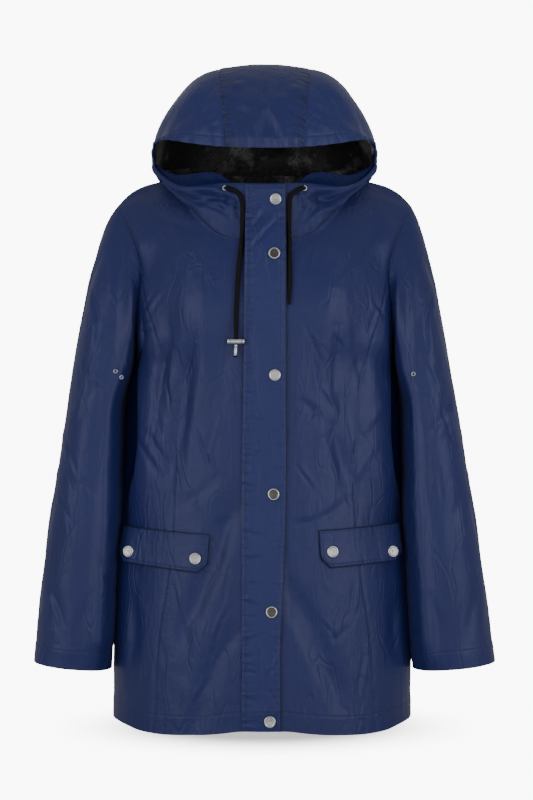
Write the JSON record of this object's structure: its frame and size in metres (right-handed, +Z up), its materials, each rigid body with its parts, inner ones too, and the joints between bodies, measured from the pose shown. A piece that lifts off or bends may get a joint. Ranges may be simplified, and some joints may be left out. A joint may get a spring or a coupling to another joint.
{
  "type": "hooded raincoat",
  "caption": "Hip-length hooded raincoat with long sleeves, a snap-fastened storm flap, snap pocket flaps and a drawcord through the hood's neck, filled out as if worn and hollow.",
  "frame": {"origin": "middle of the neck, level with the points where the neckline meets the shoulder seams", "axes": "+Z up, the front faces -Y, +X is the wearer's left"},
  "size_m": [0.618, 0.2768, 0.8846],
  "materials": {
    "coated_cloth": "satin polyurethane coating",
    "facing_cloth": "matt",
    "lining": "matt mesh",
    "cord": "matt braid",
    "snap_metal": "satin",
    "eyelet_metal": "polished"
  },
  "bodies": {
    "root": {"front_right": "coated_cloth", "front_left": "coated_cloth", "front_right_side": "coated_cloth", "front_left_side": "coated_cloth", "back": "coated_cloth", "sleeve_right": "coated_cloth", "sleeve_left": "coated_cloth", "hood_center": "coated_cloth", "hood_right": "coated_cloth", "hood_left": "coated_cloth", "placket": "coated_cloth", "pocket_flap_right": "coated_cloth", "pocket_flap_left": "coated_cloth", "hood_lining": "lining", "hood_facing_right": "facing_cloth", "hood_facing_left": "facing_cloth", "snap_placket_1": "snap_metal", "snap_placket_2": "snap_metal", "snap_placket_3": "snap_metal", "snap_placket_4": "snap_metal", "snap_placket_5": "snap_metal", "snap_placket_6": "snap_metal", "snap_flap_right_1": "snap_metal", "snap_flap_right_2": "snap_metal", "snap_flap_left_1": "snap_metal", "snap_flap_left_2": "snap_metal", "eyelet_cord_right": "eyelet_metal", "eyelet_cord_left": "eyelet_metal", "eyelet_sleeve_right_1": "eyelet_metal", "eyelet_sleeve_right_2": "eyelet_metal", "eyelet_sleeve_left_1": "eyelet_metal", "drawcord_right": "cord", "drawcord_left": "cord", "cord_stop": "eyelet_metal", "cord_tip": "eyelet_metal"}
  },
  "joints": []
}
